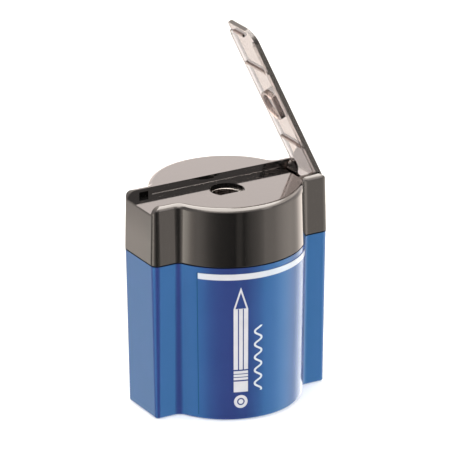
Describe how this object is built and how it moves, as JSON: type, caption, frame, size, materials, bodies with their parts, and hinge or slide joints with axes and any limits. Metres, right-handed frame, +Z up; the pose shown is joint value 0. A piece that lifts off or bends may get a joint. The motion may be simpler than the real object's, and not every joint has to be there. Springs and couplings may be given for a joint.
{
  "type": "tub pencil sharpener",
  "caption": "Tub pencil sharpener: drafted blue shavings tub with side wings, black pull-off cap holding a wedge sharpener, and a clear smoke lid hinged at one wing.",
  "frame": {"origin": "on the table, at the middle of the tub's outline", "axes": "+Z up, +X towards the wing that carries the lid's hinge, -Y towards the labelled front"},
  "size_m": [0.0586, 0.0463, 0.1128],
  "materials": {
    "tub_blue": "glossy moulded polystyrene, mid blue",
    "label_film": "gloss printed film in the tub's blue, with a white band and a plain white emblem",
    "cap_black": "high-gloss black moulded polystyrene",
    "block_metal": "tumbled magnesium alloy",
    "blade_steel": "ground tool steel",
    "screw_steel": "plated steel",
    "lid_smoke": "clear smoke-grey polystyrene, glossy"
  },
  "bodies": {
    "tub": {"tub": "tub_blue", "label": "label_film"},
    "cap": {"cap": "cap_black", "sharpener_block": "block_metal", "blade": "blade_steel", "blade_screw": "screw_steel"},
    "lid": {"lid": "lid_smoke"}
  },
  "joints": [
    {"name": "cap_lift", "type": "slide", "parent": "tub", "child": "cap", "axis": [0, 0, 1], "range_m": [0, 0.03]},
    {"name": "lid_hinge", "type": "hinge", "parent": "cap", "child": "lid", "pos_m": [0.02615, 0, 0.063], "axis": [0, 1, 0], "range_deg": [-64.5, 35.5]}
  ]
}
